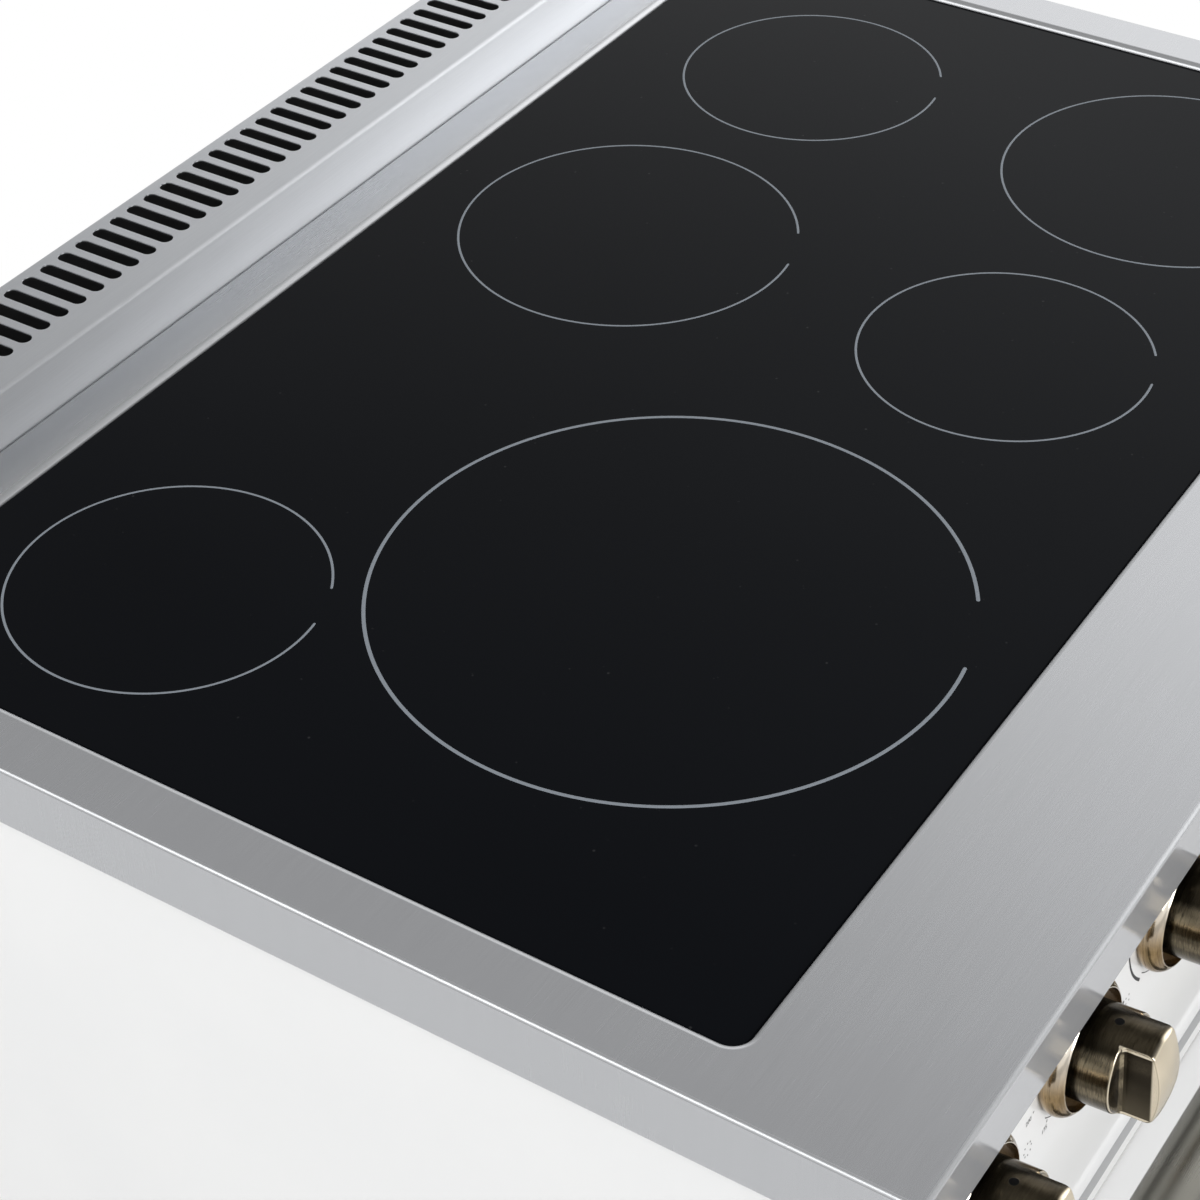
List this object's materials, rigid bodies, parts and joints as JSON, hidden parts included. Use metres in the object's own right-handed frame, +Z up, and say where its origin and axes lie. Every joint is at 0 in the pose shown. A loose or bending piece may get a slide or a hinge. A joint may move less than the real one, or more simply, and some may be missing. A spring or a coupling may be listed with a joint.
{
  "type": "freestanding electric range",
  "caption": "Wide freestanding electric range: ceramic glass cooktop in a steel frame with a slotted rear vent, sloping knob panel, drop-down oven door, storage drawer and levelling legs.",
  "frame": {"origin": "on the floor, at the middle of the footprint box", "axes": "+X to the right of someone in front of the range, +Y to the back, +Z up"},
  "size_m": [0.91, 0.7519, 0.942],
  "materials": {
    "brushed_stainless": "brushed",
    "ceramic_glass": "polished",
    "element_dish": "matt",
    "zinc_sheet": "galvanised",
    "white_enamel": "gloss",
    "antique_brass": "brushed",
    "black_plastic": "gloss",
    "grey_enamel": "gloss",
    "seal_rubber": "matt",
    "chrome_wire": "polished",
    "heater_tube": "oxidised",
    "fan_steel": "satin",
    "lamp_glass": "clear",
    "door_glass": "tinted",
    "mineral_wool": "fibrous",
    "leg_steel": "brushed"
  },
  "bodies": {
    "cabinet": {"cooktop_frame": "brushed_stainless", "rear_vent": "brushed_stainless", "glass_top": "ceramic_glass", "element_left_back": "element_dish", "element_left_front": "element_dish", "element_middle_back": "element_dish", "element_middle_front": "element_dish", "element_right_back": "element_dish", "element_right_front": "element_dish", "element_tray": "zinc_sheet", "base_frame": "zinc_sheet", "back_panel": "zinc_sheet", "front_frame": "zinc_sheet", "terminal_box": "zinc_sheet", "runner_outer": "zinc_sheet", "hinge_receivers": "zinc_sheet", "screws": "zinc_sheet", "control_panel": "white_enamel", "side_panel_left": "white_enamel", "side_panel_right": "white_enamel", "knob_bezels": "antique_brass", "regulators": "black_plastic", "timer_display": "black_plastic", "oven_cavity": "grey_enamel", "fan_cover": "grey_enamel", "door_seal": "seal_rubber", "rack_guides": "chrome_wire", "oven_rack_upper": "chrome_wire", "oven_rack_lower": "chrome_wire", "broil_element": "heater_tube", "fan_element": "heater_tube", "fan_motor": "fan_steel", "oven_lamp": "lamp_glass", "insulation": "mineral_wool", "legs": "leg_steel"},
    "oven_door": {"door_panel": "white_enamel", "door_liner": "grey_enamel", "door_glass_outer": "door_glass", "door_glass_inner": "door_glass", "handle_bar": "antique_brass", "handle_posts": "antique_brass", "door_hinges": "zinc_sheet"},
    "storage_drawer": {"drawer_front": "white_enamel", "drawer_tray": "zinc_sheet", "runner_inner": "zinc_sheet"},
    "convection_fan": {"fan_wheel": "fan_steel"},
    "control_knob_1": {"knob_1": "antique_brass"},
    "control_knob_2": {"knob_2": "antique_brass"},
    "control_knob_3": {"knob_3": "antique_brass"},
    "control_knob_4": {"knob_4": "antique_brass"},
    "control_knob_5": {"knob_5": "antique_brass"},
    "control_knob_6": {"knob_6": "antique_brass"},
    "control_knob_7": {"knob_7": "antique_brass"},
    "control_knob_8": {"knob_8": "antique_brass"},
    "levelling_foot_front_left": {"foot_front_left": "leg_steel"},
    "levelling_foot_front_right": {"foot_front_right": "leg_steel"},
    "levelling_foot_back_left": {"foot_back_left": "leg_steel"},
    "levelling_foot_back_right": {"foot_back_right": "leg_steel"}
  },
  "joints": [
    {"name": "door_tilt", "type": "hinge", "parent": "cabinet", "child": "oven_door", "pos_m": [0, -0.296, 0.30448], "axis": [1, 0, 0], "range_deg": [0, 90], "stiffness_Nm_per_rad": 10, "springref_deg": -28.65},
    {"name": "drawer_slide", "type": "slide", "parent": "cabinet", "child": "storage_drawer", "axis": [0, -1, 0], "range_m": [0, 0.3]},
    {"name": "fan_spin", "type": "hinge", "parent": "cabinet", "child": "convection_fan", "pos_m": [0, 0.1685, 0.50498], "axis": [0, 1, 0], "continuous": true},
    {"name": "knob_1_turn", "type": "hinge", "parent": "cabinet", "child": "control_knob_1", "pos_m": [-0.3875, -0.31713, 0.8416], "axis": [0, 0.9969, -0.0785], "range_deg": [0, 270]},
    {"name": "knob_2_turn", "type": "hinge", "parent": "cabinet", "child": "control_knob_2", "pos_m": [-0.28683, -0.31713, 0.8416], "axis": [0, 0.9969, -0.0785], "range_deg": [0, 270]},
    {"name": "knob_3_turn", "type": "hinge", "parent": "cabinet", "child": "control_knob_3", "pos_m": [-0.18617, -0.31713, 0.8416], "axis": [0, 0.9969, -0.0785], "range_deg": [0, 270]},
    {"name": "knob_4_turn", "type": "hinge", "parent": "cabinet", "child": "control_knob_4", "pos_m": [-0.0855, -0.31713, 0.8416], "axis": [0, 0.9969, -0.0785], "range_deg": [0, 270]},
    {"name": "knob_5_turn", "type": "hinge", "parent": "cabinet", "child": "control_knob_5", "pos_m": [0.0855, -0.31713, 0.8416], "axis": [0, 0.9969, -0.0785], "range_deg": [0, 270]},
    {"name": "knob_6_turn", "type": "hinge", "parent": "cabinet", "child": "control_knob_6", "pos_m": [0.18617, -0.31713, 0.8416], "axis": [0, 0.9969, -0.0785], "range_deg": [0, 270]},
    {"name": "knob_7_turn", "type": "hinge", "parent": "cabinet", "child": "control_knob_7", "pos_m": [0.28683, -0.31713, 0.8416], "axis": [0, 0.9969, -0.0785], "range_deg": [0, 270]},
    {"name": "knob_8_turn", "type": "hinge", "parent": "cabinet", "child": "control_knob_8", "pos_m": [0.3875, -0.31713, 0.8416], "axis": [0, 0.9969, -0.0785], "range_deg": [0, 270]},
    {"name": "foot_front_left_level", "type": "slide", "parent": "cabinet", "child": "levelling_foot_front_left", "axis": [0, 0, -1], "range_m": [0, 0.025]},
    {"name": "foot_front_right_level", "type": "slide", "parent": "cabinet", "child": "levelling_foot_front_right", "axis": [0, 0, -1], "range_m": [0, 0.025]},
    {"name": "foot_back_left_level", "type": "slide", "parent": "cabinet", "child": "levelling_foot_back_left", "axis": [0, 0, -1], "range_m": [0, 0.025]},
    {"name": "foot_back_right_level", "type": "slide", "parent": "cabinet", "child": "levelling_foot_back_right", "axis": [0, 0, -1], "range_m": [0, 0.025]}
  ]
}
